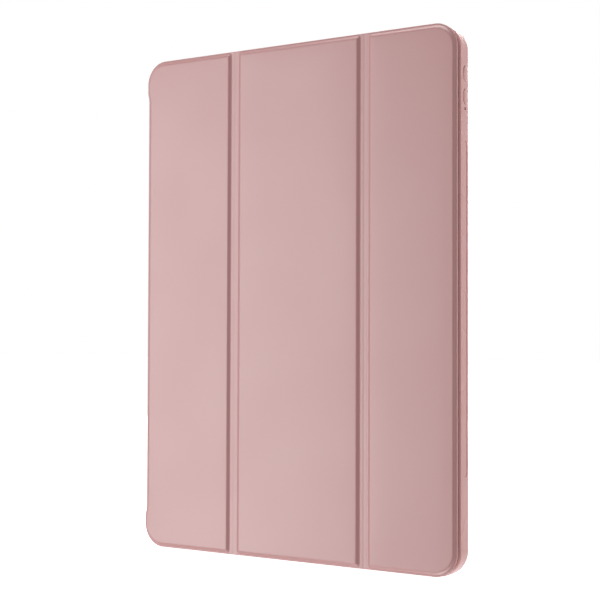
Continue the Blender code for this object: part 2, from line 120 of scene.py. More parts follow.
def addLights(s):
    for name, position, aim, size, power in s["boxes"]:
        data = bpy.data.lights.new(name, "AREA")
        data.shape = "RECTANGLE"
        data.size, data.size_y = size
        data.energy = power
        lamp = bpy.data.objects.new(name, data)
        bpy.context.scene.collection.objects.link(lamp)
        lamp.location = position
        lamp.rotation_euler = (Vector(aim) - Vector(position)).to_track_quat("-Z", "Y").to_euler()
    world = bpy.data.worlds.new("studio")
    bpy.context.scene.world = world
    world.use_nodes = True
    nodes, links = world.node_tree.nodes, world.node_tree.links
    sky = nodes["Background"]
    path = nodes.new("ShaderNodeLightPath")
    where = nodes.new("ShaderNodeTexCoord")
    parts = nodes.new("ShaderNodeSeparateXYZ")
    links.new(where.outputs["Generated"], parts.inputs[0])

    def ranged(value, low, high, start=0.0):
        level = nodes.new("ShaderNodeMapRange")
        level.inputs["From Min"].default_value = start
        for socket, given in (("Value", value), ("To Min", low), ("To Max", high)):
            if isinstance(given, float):
                level.inputs[socket].default_value = given
            else:
                links.new(given, level.inputs[socket])
        return level.outputs["Result"]

    glow = ranged(parts.outputs["Z"], s["below"], s["above"], -1.0)
    gleam = ranged(parts.outputs["Y"], s["gleamFront"], s["gleamBack"], -1.0)
    unseen = ranged(path.outputs["Is Glossy Ray"], glow, gleam)
    links.new(ranged(path.outputs["Is Camera Ray"], unseen, 1.0), sky.inputs["Strength"])
    sky.inputs["Color"].default_value = (1.0, 1.0, 1.0, 1.0)
    bpy.context.scene.view_settings.view_transform = "Standard"


floor = {"reach": 6.0, "drop": 0.0002, "glow": 0.95, "color": (0.9, 0.9, 0.9, 1.0), "rough": 0.9}


def addFloor(f):
    reach = f["reach"]
    corners = [(-reach, -reach, 0.0), (reach, -reach, 0.0), (reach, reach, 0.0), (-reach, reach, 0.0)]
    mesh = bpy.data.meshes.new("floor")
    mesh.from_pydata(corners, [], [(0, 1, 2, 3)])
    paper = bpy.data.materials.new("whitePaper")
    paper.use_nodes = True
    shader = paper.node_tree.nodes["Principled BSDF"]
    shader.inputs["Base Color"].default_value = f["color"]
    shader.inputs["Roughness"].default_value = f["rough"]
    shader.inputs["Emission Color"].default_value = f["color"]
    shader.inputs["Emission Strength"].default_value = f["glow"]
    mesh.materials.append(paper)
    sheet = bpy.data.objects.new("floor", mesh)
    bpy.context.scene.collection.objects.link(sheet)
    sheet.location.z = -f["drop"]
    # the white light from below comes from the world, so the floor doesn't stand in its way
    sheet.visible_diffuse = sheet.visible_glossy = sheet.visible_shadow = False


addCamera(shot)
addLights(studio)
addFloor(floor)
print("camera, lights and floor are up")


# shared effects, each a node group that puts out values only
def newGroup(name, inputs, outputs):
    tree = bpy.data.node_groups.new(name, "ShaderNodeTree")
    for label, value in inputs.items():
        tree.interface.new_socket(label, in_out="INPUT", socket_type="NodeSocketFloat").default_value = value
    for label in outputs:
        tree.interface.new_socket(label, in_out="OUTPUT", socket_type="NodeSocketFloat")
    return tree, tree.nodes.new("NodeGroupInput"), tree.nodes.new("NodeGroupOutput")


def mathNode(tree, operation, first, second):
    node = tree.nodes.new("ShaderNodeMath")
    node.operation = operation
    for socket, value in zip(node.inputs, (first, second)):
        if isinstance(value, (int, float)):
            socket.default_value = value
        else:
            tree.links.new(value, socket)
    return node.outputs[0]


def grainGroup():
    # pebbles: distance to the nearest cell centre, softened by a finer noise; Size is cells to a metre
    tree, given, out = newGroup("pressedGrain", {"Size": 2600.0, "Fine": 0.4}, ("Height", "Shade"))
    where = tree.nodes.new("ShaderNodeTexCoord")
    cells = tree.nodes.new("ShaderNodeTexVoronoi")
    cells.feature = "SMOOTH_F1"
    cells.inputs["Smoothness"].default_value = 0.6
    fine = tree.nodes.new("ShaderNodeTexNoise")
    fine.inputs["Detail"].default_value = 3.0
    slow = tree.nodes.new("ShaderNodeTexNoise")
    slow.inputs["Scale"].default_value = 28.0
    slow.inputs["Detail"].default_value = 2.0
    for texture in (cells, fine, slow):
        tree.links.new(where.outputs["Object"], texture.inputs["Vector"])
    tree.links.new(given.outputs["Size"], cells.inputs["Scale"])
    tree.links.new(mathNode(tree, "MULTIPLY", given.outputs["Size"], 2.3), fine.inputs["Scale"])
    speck = mathNode(tree, "MULTIPLY", fine.outputs["Fac"], given.outputs["Fine"])
    tree.links.new(mathNode(tree, "ADD", cells.outputs["Distance"], speck), out.inputs["Height"])
    tree.links.new(slow.outputs["Fac"], out.inputs["Shade"])
    return tree


def fibreGroup():
    # a noise pulled out along Z; Size is fibres to a metre across, Pull how many times longer than wide
    tree, given, out = newGroup("fibres", {"Size": 2000.0, "Pull": 8.0}, ("Height", "Shade"))
    where = tree.nodes.new("ShaderNodeTexCoord")
    parts = tree.nodes.new("ShaderNodeSeparateXYZ")
    joined = tree.nodes.new("ShaderNodeCombineXYZ")
    tree.links.new(where.outputs["Object"], parts.inputs[0])
    tree.links.new(parts.outputs["X"], joined.inputs["X"])
    tree.links.new(parts.outputs["Y"], joined.inputs["Y"])
    tree.links.new(mathNode(tree, "DIVIDE", parts.outputs["Z"], given.outputs["Pull"]), joined.inputs["Z"])
    strands = tree.nodes.new("ShaderNodeTexNoise")
    strands.inputs["Detail"].default_value = 5.0
    strands.inputs["Roughness"].default_value = 0.65
    tree.links.new(joined.outputs[0], strands.inputs["Vector"])
    tree.links.new(given.outputs["Size"], strands.inputs["Scale"])
    patches = tree.nodes.new("ShaderNodeTexNoise")
    patches.inputs["Scale"].default_value = 45.0
    patches.inputs["Detail"].default_value = 3.0
    tree.links.new(where.outputs["Object"], patches.inputs["Vector"])
    tree.links.new(strands.outputs["Fac"], out.inputs["Height"])
    mixed = mathNode(tree, "MULTIPLY", strands.outputs["Fac"], patches.outputs["Fac"])
    tree.links.new(mathNode(tree, "MULTIPLY", mixed, 2.0), out.inputs["Shade"])
    return tree


pressedGrain = grainGroup()
fibres = fibreGroup()


def finish(name, group, settings, look):
    # one material: the group's Shade mixes two tones and moves the roughness, its Height drives a bump
    material = bpy.data.materials.new(name)
    material.use_nodes = True
    tree = material.node_tree
    shader = tree.nodes["Principled BSDF"]
    for socket, value in look["shader"].items():
        shader.inputs[socket].default_value = value
    effect = tree.nodes.new("ShaderNodeGroup")
    effect.node_tree = group
    for socket, value in settings.items():
        effect.inputs[socket].default_value = value
    tones = tree.nodes.new("ShaderNodeMix")
    tones.data_type = "RGBA"
    tones.inputs["A"].default_value = (*look["dark"], 1.0)
    tones.inputs["B"].default_value = (*look["light"], 1.0)
    tree.links.new(effect.outputs["Shade"], tones.inputs["Factor"])
    tree.links.new(tones.outputs["Result"], shader.inputs["Base Color"])
    rough = tree.nodes.new("ShaderNodeMapRange")
    rough.inputs["From Min"].default_value = 0.3
    rough.inputs["From Max"].default_value = 0.7
    rough.inputs["To Min"].default_value, rough.inputs["To Max"].default_value = look["rough"]
    tree.links.new(effect.outputs["Shade"], rough.inputs["Value"])
    tree.links.new(rough.outputs["Result"], shader.inputs["Roughness"])
    bump = tree.nodes.new("ShaderNodeBump")
    bump.inputs["Strength"].default_value = look["bump"]
    bump.inputs["Distance"].default_value = look["relief"]
    tree.links.new(effect.outputs["Height"], bump.inputs["Height"])
    tree.links.new(bump.outputs["Normal"], shader.inputs["Normal"])
    return material


def coverSkin():
    return finish("coverSkin", pressedGrain, {"Size": 3000.0, "Fine": 0.5}, {
        "dark": (0.505, 0.252, 0.246), "light": (0.525, 0.265, 0.259),
        "rough": (0.34, 0.39), "bump": 0.06, "relief": 0.00005,
        "shader": {"Specular IOR Level": 1.0},
    })


def microfibre():
    return finish("microfibre", fibres, {"Size": 5200.0, "Pull": 2.5}, {
        "dark": (0.56, 0.36, 0.348), "light": (0.64, 0.42, 0.407),
        "rough": (0.86, 0.96), "bump": 0.55, "relief": 0.00012,
        "shader": {"Specular IOR Level": 0.2, "Sheen Weight": 0.45, "Sheen Roughness": 0.4},
    })


def softTray():
    return finish("softTray", pressedGrain, {"Size": 420.0, "Fine": 0.2}, {
        "dark": (0.68, 0.335, 0.318), "light": (0.70, 0.352, 0.335),
        "rough": (0.24, 0.30), "bump": 0.02, "relief": 0.0001,
        "shader": {
            "IOR": 1.5, "Subsurface Weight": 0.2, "Subsurface Radius": (1.0, 0.5, 0.4),
            "Subsurface Scale": 0.001, "Coat Weight": 0.15, "Coat Roughness": 0.15,
        },
    })


def stiffPlate():
    return finish("stiffPlate", pressedGrain, {"Size": 5200.0, "Fine": 0.8}, {
        "dark": (0.66, 0.40, 0.385), "light": (0.68, 0.415, 0.40),
        "rough": (0.34, 0.40), "bump": 0.12, "relief": 0.00003,
        "shader": {"IOR": 1.58, "Specular IOR Level": 0.5},
    })


def fibreBoard():
    return finish("fibreBoard", fibres, {"Size": 1500.0, "Pull": 5.0}, {
        "dark": (0.23, 0.19, 0.15), "light": (0.46, 0.40, 0.33),
        "rough": (0.84, 0.94), "bump": 0.5, "relief": 0.0001,
        "shader": {"Specular IOR Level": 0.25},
    })


def adhesive():
    return finish("adhesive", pressedGrain, {"Size": 900.0, "Fine": 0.6}, {
        "dark": (0.74, 0.71, 0.64), "light": (0.82, 0.80, 0.74),
        "rough": (0.42, 0.55), "bump": 0.3, "relief": 0.00004,
        "shader": {"Specular IOR Level": 0.4},
    })


def nickelMagnet():
    return finish("nickelMagnet", pressedGrain, {"Size": 3600.0, "Fine": 0.9}, {
        "dark": (0.50, 0.49, 0.46), "light": (0.63, 0.62, 0.59),
        "rough": (0.22, 0.34), "bump": 0.15, "relief": 0.00003,
        "shader": {"Metallic": 1.0},
    })


def springSteel():
    return finish("springSteel", fibres, {"Size": 3500.0, "Pull": 60.0}, {
        "dark": (0.40, 0.41, 0.43), "light": (0.58, 0.59, 0.61),
        "rough": (0.28, 0.42), "bump": 0.3, "relief": 0.00003,
        "shader": {"Metallic": 1.0},
    })


finishes = {
    "cover_skin": coverSkin(),
    "microfibre": microfibre(),
    "fibre_board": fibreBoard(),
    "soft_tray": softTray(),
    "stiff_plate": stiffPlate(),
    "adhesive": adhesive(),
    "magnet": nickelMagnet(),
    "spring_steel": springSteel(),
}
print("materials made:", len(finishes))


# shapes shared by several pieces
def ease(t):
    # 0 before 0, 1 after 1 and an S between them: three t squared less two t cubed
    t = np.clip(t, 0.0, 1.0)
    return t * t * (3.0 - 2.0 * t)


def roundOver(distance, radius):
    # how far a rounded edge has dropped at a distance in from it: a quarter circle of that radius
    d = np.clip(distance, 0.0, radius)
    return radius - np.sqrt(radius**2 - (radius - d) ** 2)


def insideDistance(x, z, box, radii):
    # how far a point lies inside a box (x0, x1, z0, z1) with round corners: the usual rounded box distance,
    # with the radius of the corner it is nearest; radii run bottom left, bottom right, top right, top left
    x0, x1, z0, z1 = box
    midX, midZ = (x0 + x1) / 2, (z0 + z1) / 2
    low = np.where(x < midX, radii[0], radii[1])
    high = np.where(x < midX, radii[3], radii[2])
    radius = np.where(z < midZ, low, high)
    qx = np.abs(x - midX) - (x1 - x0) / 2 + radius
    qz = np.abs(z - midZ) - (z1 - z0) / 2 + radius
    corner = np.hypot(np.maximum(qx, 0.0), np.maximum(qz, 0.0))
    return radius - corner - np.minimum(np.maximum(qx, qz), 0.0)


def gradedStops(length, near, far, count, middle):
    # distances from 0 to a length, packed towards both ends: near times t to the power 1.6, for t from 0 to 1
    t = np.linspace(0.0, 1.0, count) ** 1.6
    between = np.linspace(near, length - far, middle)[1:-1]
    return np.concatenate([near * t, between, (length - far * t)[::-1]])


def putIn(name, points, faces, slotName, sharp=35.0):
    # makes the object, with its faces turned outwards by the sign of the volume that they enclose
    fans = np.concatenate([faces[:, [0, i, i + 1]] for i in range(1, faces.shape[1] - 1)])
    a, b, c = (points[fans[:, i]] for i in range(3))
    if (a * np.cross(b, c)).sum() < 0:
        faces = faces[:, ::-1]
    mesh = bpy.data.meshes.new(name)
    mesh.from_pydata(points.tolist(), [], faces.tolist())
    mesh.shade_smooth()
    mesh.set_sharp_from_angle(angle=math.radians(sharp))
    mesh.materials.append(finishes[slotName])
    piece = bpy.data.objects.new(name, mesh)
    bpy.context.scene.collection.objects.link(piece)
    return piece


def sheetSolid(name, front, back, slotName, keep=None):
    # a sheet between two grids of points, rows by columns; cells left out by keep make notches, and a rim
    # of one face for each border edge closes it
    rows, columns = front.shape[:2]
    ids = np.arange(rows * columns).reshape(rows, columns)
    keep = np.ones((rows - 1, columns - 1), bool) if keep is None else keep
    cells = np.stack([ids[:-1, :-1], ids[:-1, 1:], ids[1:, 1:], ids[1:, :-1]], -1)[keep]
    sides = np.concatenate([cells[:, [i, (i + 1) % 4]] for i in range(4)])
    key = sides.min(1) * ids.size + sides.max(1)
    _, first, uses = np.unique(key, return_index=True, return_counts=True)
    border = sides[first[uses == 1]]
    rim = np.stack([border[:, 1], border[:, 0], border[:, 0] + ids.size, border[:, 1] + ids.size], -1)
    faces = np.concatenate([cells, cells[:, ::-1] + ids.size, rim])
    points = np.concatenate([front.reshape(-1, 3), back.reshape(-1, 3)])
    used, faces = np.unique(faces, return_inverse=True)
    return putIn(name, points[used], faces.reshape(-1, 4), slotName)


def lofted(name, rings, slotName, sharp=35.0):
    # rings of equally many points, rings by points, joined by faces; the last ring meets the first
    count, size = rings.shape[:2]
    ids = np.arange(count * size).reshape(count, size)
    nextRing, nextPoint = np.roll(ids, -1, 0), np.roll(ids, -1, 1)
    faces = np.stack([ids, nextPoint, np.roll(nextRing, -1, 1), nextRing], -1).reshape(-1, 4)
    return putIn(name, rings.reshape(-1, 3), faces, slotName, sharp)


def capped(name, rings, slotName, sharp=35.0):
    # rings joined as above, but open at the ends, where each is closed by rows of faces that cross the ring
    count, size = rings.shape[:2]
    ids = np.arange(count * size).reshape(count, size)
    nextPoint = np.roll(ids, -1, 1)
    walls = np.stack([ids[:-1], nextPoint[:-1], nextPoint[1:], ids[1:]], -1).reshape(-1, 4)
    half = size // 2
    step = np.arange(half - 1)
    across = np.stack([step, step + 1, size - 2 - step, size - 1 - step], -1)
    ends = np.concatenate([ids[0][across][:, ::-1], ids[-1][across]])
    return putIn(name, rings.reshape(-1, 3), np.concatenate([walls, ends]), slotName, sharp)


def replaceNode(piece, node, body, other=None, start=None, end=None):
    if other:
        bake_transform(piece)
    else:
        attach(piece, body)
    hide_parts(node)


# the cover: three stiff panels with raised pads, on one outline with round corners
cover = {
    "corner": 11.5 * mm,
    "rise": 0.95 * mm,          # from the rim to a pad's face
    "skin": 0.5 * mm,
    "rim": 0.1 * mm,            # flat rim between the outer edge and a pad's foot
    "edgeSlope": 2.0 * mm,      # width of a pad's slope at the free and the spine edge
    "endSlope": 2.8 * mm,       # at the top and bottom edges
    "grooveSlope": 2.6 * mm,    # and beside a groove
    "freeTrim": 0.45 * mm,       # the free edge stops this short of the frame's cover
    "padCorner": 2.2 * mm,
    "crown": 0.07 * mm,         # how far a pad's face eases down towards its foot
    "crownReach": 7.0 * mm,
    "edgeRadius": 0.32 * mm,
    "liningRadius": 0.22 * mm,
    "boardCorner": 1.8 * mm,    # of the pocket that a board lies in
    "boardEdge": 0.3 * mm,
    "leastSkin": 0.3 * mm,
    "pressed": 0.1 * mm,        # depth of the line that the lining is pressed in round a board
    "pressedFrom": 0.9 * mm,
    "pressedWidth": 0.45 * mm,
    "crease": 0.05 * mm,        # faint crease down the middle of a fold
    "creaseWidth": 0.5 * mm,
    "near": 13.0 * mm,          # fine stretch of the grid beside a round corner
    "square": 5.0 * mm,         # and beside a groove
    "rows": 46,
}
# the spine's wrap, measured along the skin from where panel A's board ends
wrap = {
    "foldStart": 7.0 * mm,
    "frontRadius": 3.8 * mm,
    "rearRadius": 3.6 * mm,
    "frontFold": 60.0,          # degrees of the front roll that belong to the fold
    "rearSpine": 25.0,          # degrees of the rear roll that belong to the spine
    "rearLined": 55.0,
    "skin": 0.5 * mm,
    "bond": 0.05 * mm,
    "lining": 0.4 * mm,
    "board": 0.35 * mm,
    "endRadius": 0.2 * mm,
    "earEnd": 0.55 * mm,        # how far an ear's outline draws in where it meets the roll
    "earMorph": 5.5 * mm,
}

coverRight = span("panel_c_skin")[1] - cover["freeTrim"]
coverBox = (span("panel_a_skin")[0], coverRight, span("panel_a_skin")[4], span("panel_a_skin")[5])
floorAB = (span("panel_a_skin")[1], span("panel_b_skin")[0])
floorBC = (span("panel_b_skin")[1], span("panel_c_skin")[0])
spineLow, spineHigh = span("spine_skin")[4], span("spine_skin")[5]
foldStart = caseLeft + wrap["foldStart"]


def rollDepth(x):
    # how far the spine's front roll has fallen back at x: a circle of the front radius
    radius = wrap["frontRadius"]
    reach = np.clip(caseLeft + radius - x, 0.0, radius)
    return radius - np.sqrt(radius**2 - reach**2)


def panelGrid(box, isRolled, isFree):
    # columns follow the cover's outline: each row runs from its left limit to its right one, and the stops
    # near a limit keep their distance from it
    c = cover
    x0, x1, z0, z1 = box
    near = c["near"] if isRolled else c["square"]
    far = c["near"] if isFree else c["square"]
    stops = gradedStops(x1 - x0, near, far, c["rows"], 9)
    rows = z0 + gradedStops(z1 - z0, c["near"], c["near"], c["rows"], 18)
    if isRolled:
        stops = np.union1d(stops, [foldStart - x0])
        ear = wrap["earMorph"] * np.linspace(0.0, 1.0, 15)
        rows = np.concatenate([rows, spineHigh + ear, spineLow - ear])
    rows = np.unique(np.round(rows, 7))
    z, stop = np.meshgrid(rows, stops, indexing="ij")
    radius = c["corner"]
    up = np.clip(radius - np.minimum(z - z0, z1 - z), 0.0, radius)
    inset = radius - np.sqrt(radius**2 - up**2)
    share = np.clip((stop - near) / (x1 - x0 - near - far), 0.0, 1.0)
    x = x0 + stop + inset * (isRolled * (1.0 - share) - isFree * share)
    left = x[:, :1] + 0.0
    if isRolled:
        past = np.maximum(z - spineHigh, spineLow - z)
        drawn = wrap["earEnd"] * (1.0 - ease(past / wrap["earMorph"])) * (past > -1e-7)
        x = x + drawn * (1.0 - np.clip(stop / (foldStart - x0), 0.0, 1.0))
        left = x[:, :1]
    return x, z, left


def padDepth(x, z, padBox, padRadii, slopes):
    # outer face behind the case's front: the pad's rise less an S over the slope, and a very slight crown;
    # the slope's width changes from the pad's left side to its right one, and to the ends' own width above
    # and below
    c = cover
    inside = insideDistance(x, z, padBox, padRadii)
    slope = slopes[0] + (slopes[1] - slopes[0]) * ease((x - padBox[0]) / (padBox[1] - padBox[0]))
    toSide = np.minimum(x - padBox[0], padBox[1] - x)
    toEnd = np.minimum(z - padBox[2], padBox[3] - z)
    slope = slope + (c["endSlope"] - slope) * ease((toSide - toEnd) / (2 * c["corner"]) + 0.5)
    t = np.clip(inside / slope, 0.0, 1.0)
    climbed = t**3 * (10.0 - 15.0 * t + 6.0 * t**2)
    crown = c["crown"] * (1.0 - np.clip((inside - slope) / c["crownReach"], 0.0, 1.0)) ** 2
    return c["rise"] * (1.0 - climbed) + crown * climbed


def makePanel(letter, box, isRolled, isFree):
    c = cover
    body = "panel_" + letter
    x, z, left = panelGrid(box, isRolled, isFree)
    x0, x1, z0, z1 = box
    padBox = (x0 + c["rim"] * isRolled, x1 - c["rim"] * isFree, z0 + c["rim"], z1 - c["rim"])
    roundPad = c["corner"] - c["rim"]
    leftRadius = roundPad if isRolled else c["padCorner"]
    rightRadius = roundPad if isFree else c["padCorner"]
    slopes = tuple(c["edgeSlope"] if isOuter else c["grooveSlope"] for isOuter in (isRolled, isFree))
    depth = padDepth(x, z, padBox, (leftRadius, rightRadius, rightRadius, leftRadius), slopes)
    outer = insideDistance(x, z, coverBox, (c["corner"],) * 4)
    keep = None
    if isRolled:
        past = np.maximum(z - spineHigh, spineLow - z)
        morph = (1.0 - ease(past / (wrap["earMorph"] * 0.9))) * (x < foldStart)
        depth = depth + (rollDepth(x) - depth) * morph
        outer = np.minimum(outer, np.where(past > -1e-7, x - left, 1.0))
        midX, midZ = (x[:-1, :-1] + x[1:, 1:]) / 2, (z[:-1, :-1] + z[1:, 1:]) / 2
        keep = (midX > foldStart) | (midZ > spineHigh) | (midZ < spineLow)
    depth = depth + roundOver(outer, c["edgeRadius"])

    boardBox = span(body + "_board")
    pocket = insideDistance(x, z, (*boardBox[:2], *boardBox[4:]), (c["boardCorner"],) * 4)
    rimBack = c["rise"] + c["skin"]
    behind = rimBack - c["rise"] * ease(1.0 + pocket / c["boardEdge"])
    behind = np.maximum(behind, np.minimum(depth + c["leastSkin"], rimBack))
    front = np.stack([x, caseFront + depth, z], -1)
    back = np.stack([x, caseFront + behind, z], -1)
    piece = sheetSolid(f"panel_{letter}_cover", front, back, "cover_skin", keep)
    replaceNode(piece, body + "_skin", body)

    # the lining: a flat sheet with a shallow line pressed round the board
    lining = span(body + "_lining")
    pressed = c["pressed"] * np.exp(-((pocket + c["pressedFrom"]) / c["pressedWidth"]) ** 2)
    inner = lining[3] - pressed - roundOver(outer, c["liningRadius"])
    top = np.stack([x, np.full_like(x, lining[2]), z], -1)
    under = np.stack([x, inner, z], -1)
    cloth = sheetSolid(f"panel_{letter}_cloth", top, under, "microfibre", keep)
    replaceNode(cloth, body + "_lining", body)
    area = (x1 - x0) * (z1 - z0)
    if isRolled:
        area -= (foldStart - x0) * (spineHigh - spineLow)


def makeFold(letters, floorSpan):
    # the bare strip at the bottom of a groove: skin in front, lining behind, and a faint crease
    c = cover
    x0, x1 = floorSpan
    rows = coverBox[2] + gradedStops(coverBox[3] - coverBox[2], 1.5 * mm, 1.5 * mm, 12, 40)
    columns = np.linspace(x0, x1, 21)
    z, x = np.meshgrid(rows, columns, indexing="ij")
    outer = np.minimum(z - coverBox[2], coverBox[3] - z)
    crease = c["crease"] * np.exp(-((x - (x0 + x1) / 2) / c["creaseWidth"]) ** 2)
    depth = c["rise"] + crease + roundOver(outer, c["edgeRadius"])
    bodies = ("panel_" + letters[0], "panel_" + letters[1])
    ends = {"start": (x0, caseFront, 0.0), "end": (x1, caseFront, 0.0)}
    front = np.stack([x, caseFront + depth, z], -1)
    back = np.stack([x, np.full_like(x, caseFront + c["rise"] + c["skin"]), z], -1)
    piece = sheetSolid(f"fold_{letters}_cover", front, back, "cover_skin")
    replaceNode(piece, f"fold_{letters}_skin", *bodies, **ends)
    lining = span(f"fold_{letters}_lining")
    top = np.stack([x, np.full_like(x, lining[2]), z], -1)
    under = np.stack([x, lining[3] - crease * 2 - roundOver(outer, c["liningRadius"]), z], -1)
    cloth = sheetSolid(f"fold_{letters}_cloth", top, under, "microfibre")
    replaceNode(cloth, f"fold_{letters}_lining", *bodies, **ends)


makePanel("a", (coverBox[0], floorAB[0], *coverBox[2:]), True, False)
makePanel("b", (floorAB[1], floorBC[0], *coverBox[2:]), False, False)
makePanel("c", (floorBC[1], coverBox[1], *coverBox[2:]), False, True)
makeFold("ab", floorAB)
makeFold("bc", floorBC)
print("cover panels and folds made")


# the spine and its two soft folds, as strips that follow one wrap
frontRun = wrap["foldStart"] - wrap["frontRadius"]
frontArc = wrap["frontRadius"] * math.pi / 2
rearArc = wrap["rearRadius"] * math.pi / 2
sideRun = caseBack - caseFront - wrap["frontRadius"] - wrap["rearRadius"]
sideEnd = frontRun + frontArc + sideRun
spineStart = frontRun + frontArc * wrap["frontFold"] / 90
spineEnd = sideEnd + rearArc * wrap["rearSpine"] / 90


def wrapPoint(run, depth):
    # a point at a run along the skin and a depth inside it: flat front, front roll, flat side, rear roll,
    # flat back
    front, rear = wrap["frontRadius"], wrap["rearRadius"]
    a = np.clip((run - frontRun) / front, 0.0, math.pi / 2)
    b = np.clip((run - sideEnd) / rear, 0.0, math.pi / 2)
    flat = np.maximum(frontRun - run, 0.0)
    side = np.clip(run - frontRun - frontArc, 0.0, sideRun)
    past = np.maximum(run - sideEnd - rearArc, 0.0)
    frontX = caseLeft + front + flat - (front - depth) * np.sin(a)
    frontY = caseFront + front - (front - depth) * np.cos(a) + side
    rearX = caseLeft + rear + past - (rear - depth) * np.cos(b)
    rearY = caseBack - rear + (rear - depth) * np.sin(b)
    isFront = run <= sideEnd - sideRun / 2
    return np.where(isFront, frontX, rearX), np.where(isFront, frontY, rearY)


def wrapStrip(name, run0, run1, depth0, depth1, slotName, endRadius):
    # a strip of sheet between two runs and two depths; its top and bottom ends are rounded over, but not
    # where they butt against an ear
    steps = max(9, int((run1 - run0) / (0.22 * mm)))
    rows = spineLow + gradedStops(spineHigh - spineLow, 1.0 * mm, 1.0 * mm, 8, 36)
    z, run = np.meshgrid(rows, np.linspace(run0, run1, steps), indexing="ij")
    free = ease((run - frontRun - frontArc * 0.5) / (1.2 * mm))
    drop = roundOver(np.minimum(z - spineLow, spineHigh - z), endRadius) * free
    outerX, outerY = wrapPoint(run, depth0 + drop)
    innerX, innerY = wrapPoint(run, depth1 + 0 * run)
    return sheetSolid(name, np.stack([outerX, outerY, z], -1), np.stack([innerX, innerY, z], -1), slotName)


def makeSpine(w):
    under = w["skin"] + w["bond"]
    clothEnd = under + w["lining"]
    boardEnd = under + w["board"]
    linedEnd = sideEnd + rearArc * w["rearLined"] / 90
    frontEnds = {"start": (*np.ravel(wrapPoint(spineStart, 0.0)), 0.0), "end": (foldStart, caseFront, 0.0)}
    rearTop = wrapPoint(sideEnd + rearArc, 0.0)
    rearEnds = {"start": (*np.ravel(rearTop), 0.0), "end": (*np.ravel(wrapPoint(spineEnd, 0.0)), 0.0)}
    r = w["endRadius"]

    piece = wrapStrip("front_fold_cover", 0.0, spineStart, 0.0, w["skin"], "cover_skin", r)
    replaceNode(piece, "front_fold_skin", "spine", "panel_a", **frontEnds)
    piece = wrapStrip("front_fold_cloth", 0.0, spineStart, under, clothEnd, "microfibre", 0.0)
    replaceNode(piece, "front_fold_lining", "spine", "panel_a", **frontEnds)

    piece = wrapStrip("spine_cover", spineStart, spineEnd, 0.0, w["skin"], "cover_skin", r)
    replaceNode(piece, "spine_skin", "spine")
    piece = wrapStrip("spine_stiffener", spineStart, spineEnd, under, boardEnd, "fibre_board", 0.0)
    replaceNode(piece, "spine_board", "spine")
    clothStart = boardEnd + w["bond"]
    clothBack = clothStart + w["lining"]
    piece = wrapStrip("spine_cloth", spineStart, spineEnd, clothStart, clothBack, "microfibre", 0.0)
    replaceNode(piece, "spine_lining", "spine")

    piece = wrapStrip("rear_fold_cover", spineEnd, sideEnd + rearArc, 0.0, w["skin"], "cover_skin", r)
    replaceNode(piece, "rear_fold_skin", "tray", "spine", **rearEnds)
    piece = wrapStrip("rear_fold_cloth", spineEnd, linedEnd, under, clothEnd, "microfibre", 0.0)
    replaceNode(piece, "rear_fold_lining", "tray", "spine", **rearEnds)


backStrip = {
    "corner": 4.0 * mm,
    "near": 6.0 * mm,           # fine stretch of the grid beside an edge
    "edgeRadius": 0.25 * mm,
    "line": 0.1 * mm,           # depth of the line pressed in beside the edge
    "lineInset": 1.6 * mm,
    "lineWidth": 0.35 * mm,
    "past": 40.0 * mm,          # its outline is taken this far past the roll, where it has no edge
}


def makeBackStrip(s):
    # the stuck strip on the back: thin sheet with a rounded edge and one line pressed in beside it
    corner, near = s["corner"], s["near"]
    x1, y0, y1, z0, z1 = span("back_strip")[1:]
    x0 = caseLeft + wrap["rearRadius"]
    rows = z0 + gradedStops(z1 - z0, near, near, 34, 30)
    fine = x1 - (near * np.linspace(0, 1, 34) ** 1.6)[::-1]
    columns = np.concatenate([np.linspace(x0, x1 - near, 12)[:-1], fine])
    z, stop = np.meshgrid(rows, columns, indexing="ij")
    up = np.clip(corner - np.minimum(z - z0, z1 - z), 0.0, corner)
    inset = corner - np.sqrt(corner**2 - up**2)
    x = stop - inset * np.clip((stop - x0) / (x1 - near - x0), 0.0, 1.0)
    inside = insideDistance(x, z, (x0 - s["past"], x1, z0, z1), (corner,) * 4)
    pressed = s["line"] * np.exp(-((inside - s["lineInset"]) / s["lineWidth"]) ** 2)
    outer = np.stack([x, y1 - pressed - roundOver(inside, s["edgeRadius"]), z], -1)
    under = np.stack([x, np.full_like(x, y0), z], -1)
    piece = sheetSolid("back_strip_cover", outer, under, "cover_skin")
    replaceNode(piece, "back_strip", "tray")


makeSpine(wrap)
makeBackStrip(backStrip)
print("spine and back strip made")


# the tray: one section carried round an outline with round corners, then the openings cut
tray = {
    "corner": 12.0 * mm,
    "wall": 1.7 * mm,
    "lipReach": 2.6 * mm,
    "lip": 1.4 * mm,
    "lipRadius": 0.4 * mm,
    "frontRadius": 1.4 * mm,
    "backRadius": 2.6 * mm,
    "flange": 4.5 * mm,
    "flangeRadius": 0.12 * mm,
    "hold": 0.15 * mm,
    "ledge": 7.0 * mm,
    "ledgeDepth": 0.9 * mm,
    "plate": 1.8 * mm,
    "mouth": 0.28 * mm,         # rounding of the edges of the cut-outs
}
trayX0, trayX1, trayFront, trayBack, trayLow, trayHigh = span("bumper_frame")
trayBox = (trayX0, trayX1, trayLow, trayHigh)
bayFloor = trayBack - tray["plate"]
bayMiddle = (span("volume_up_button")[2] + span("volume_up_button")[3]) / 2


